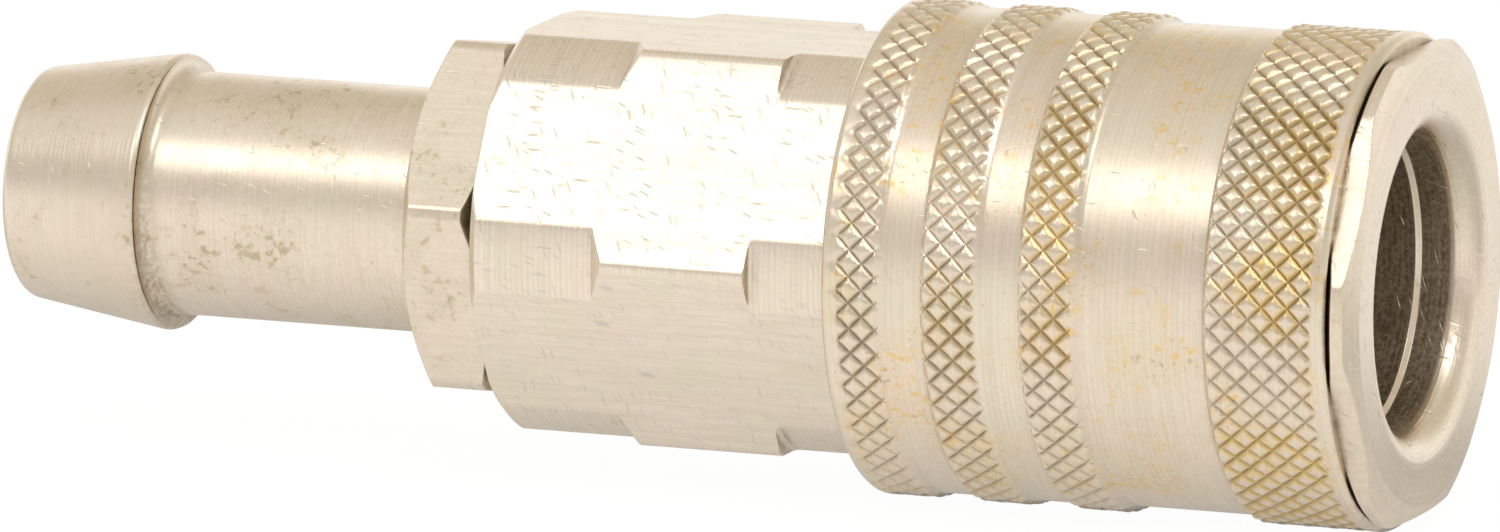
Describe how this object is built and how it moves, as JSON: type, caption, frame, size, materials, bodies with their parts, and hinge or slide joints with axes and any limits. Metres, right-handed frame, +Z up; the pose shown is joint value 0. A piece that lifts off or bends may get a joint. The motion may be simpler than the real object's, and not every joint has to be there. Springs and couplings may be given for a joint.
{
  "type": "quick disconnect coupler",
  "caption": "Quick disconnect coupler socket with a knurled pull-back sleeve, hexagonal wrench flats, ball lock, shut-off valve and a barbed hose stem.",
  "frame": {"origin": "on the axis, in the middle of the bore that guides the plug, just behind the mouth", "axes": "+X along the axis, out of the mouth, away from the hose; +Z up, square to a wrench flat of the rear body"},
  "size_m": [0.1107, 0.037, 0.037],
  "materials": {
    "nickel_plated_steel": "satin nickel plate over turned steel, with fine turning marks and light tarnish",
    "bare_steel": "turned steel",
    "spring_steel": "drawn wire",
    "ball_steel": "polished hardened steel",
    "brass": "turned brass",
    "nitrile_rubber": "moulded black nitrile rubber"
  },
  "bodies": {
    "coupler_body": {"socket_body": "nickel_plated_steel", "rear_body": "nickel_plated_steel", "hose_stem": "nickel_plated_steel", "plug_seal": "nitrile_rubber", "body_seal": "nitrile_rubber", "stem_seal": "nitrile_rubber", "valve_guide": "brass", "guide_clip": "spring_steel", "sleeve_spring": "spring_steel", "valve_spring": "spring_steel"},
    "sleeve_carrier": {"spring_washer": "bare_steel"},
    "sleeve": {"sleeve": "nickel_plated_steel"},
    "valve": {"valve_head": "brass", "valve_seal": "nitrile_rubber", "valve_pin": "bare_steel"},
    "lock_ball_1_body": {"lock_ball_1": "ball_steel"},
    "lock_ball_2_body": {"lock_ball_2": "ball_steel"},
    "lock_ball_3_body": {"lock_ball_3": "ball_steel"},
    "lock_ball_4_body": {"lock_ball_4": "ball_steel"},
    "lock_ball_5_body": {"lock_ball_5": "ball_steel"},
    "lock_ball_6_body": {"lock_ball_6": "ball_steel"},
    "lock_ball_7_body": {"lock_ball_7": "ball_steel"},
    "lock_ball_8_body": {"lock_ball_8": "ball_steel"}
  },
  "joints": [
    {"name": "sleeve_slide", "type": "slide", "parent": "coupler_body", "child": "sleeve_carrier", "axis": [-1, 0, 0], "range_m": [0, 0.005], "stiffness_N_per_m": 2000, "springref_m": -0.004, "deforming": ["sleeve_spring"]},
    {"name": "sleeve_spin", "type": "hinge", "parent": "sleeve_carrier", "child": "sleeve", "pos_m": [-0.0137, 0, 0], "axis": [1, 0, 0], "continuous": true},
    {"name": "valve_slide", "type": "slide", "parent": "coupler_body", "child": "valve", "axis": [-1, 0, 0], "range_m": [0, 0.005], "stiffness_N_per_m": 800, "springref_m": -0.004, "deforming": ["valve_spring"]},
    {"name": "lock_ball_1_rise", "type": "slide", "parent": "coupler_body", "child": "lock_ball_1_body", "axis": [0, -0.3827, 0.9239], "range_m": [0, 0.00118]},
    {"name": "lock_ball_2_rise", "type": "slide", "parent": "coupler_body", "child": "lock_ball_2_body", "axis": [0, -0.9239, 0.3827], "range_m": [0, 0.00118]},
    {"name": "lock_ball_3_rise", "type": "slide", "parent": "coupler_body", "child": "lock_ball_3_body", "axis": [0, -0.9239, -0.3827], "range_m": [0, 0.00118]},
    {"name": "lock_ball_4_rise", "type": "slide", "parent": "coupler_body", "child": "lock_ball_4_body", "axis": [0, -0.3827, -0.9239], "range_m": [0, 0.00118]},
    {"name": "lock_ball_5_rise", "type": "slide", "parent": "coupler_body", "child": "lock_ball_5_body", "axis": [0, 0.3827, -0.9239], "range_m": [0, 0.00118]},
    {"name": "lock_ball_6_rise", "type": "slide", "parent": "coupler_body", "child": "lock_ball_6_body", "axis": [0, 0.9239, -0.3827], "range_m": [0, 0.00118]},
    {"name": "lock_ball_7_rise", "type": "slide", "parent": "coupler_body", "child": "lock_ball_7_body", "axis": [0, 0.9239, 0.3827], "range_m": [0, 0.00118]},
    {"name": "lock_ball_8_rise", "type": "slide", "parent": "coupler_body", "child": "lock_ball_8_body", "axis": [0, 0.3827, 0.9239], "range_m": [0, 0.00118]}
  ],
  "couplings": [
    {"joint": "lock_ball_1_rise", "follows": "sleeve_slide", "ratio": 0.234},
    {"joint": "lock_ball_2_rise", "follows": "sleeve_slide", "ratio": 0.234},
    {"joint": "lock_ball_3_rise", "follows": "sleeve_slide", "ratio": 0.234},
    {"joint": "lock_ball_4_rise", "follows": "sleeve_slide", "ratio": 0.234},
    {"joint": "lock_ball_5_rise", "follows": "sleeve_slide", "ratio": 0.234},
    {"joint": "lock_ball_6_rise", "follows": "sleeve_slide", "ratio": 0.234},
    {"joint": "lock_ball_7_rise", "follows": "sleeve_slide", "ratio": 0.234},
    {"joint": "lock_ball_8_rise", "follows": "sleeve_slide", "ratio": 0.234}
  ]
}
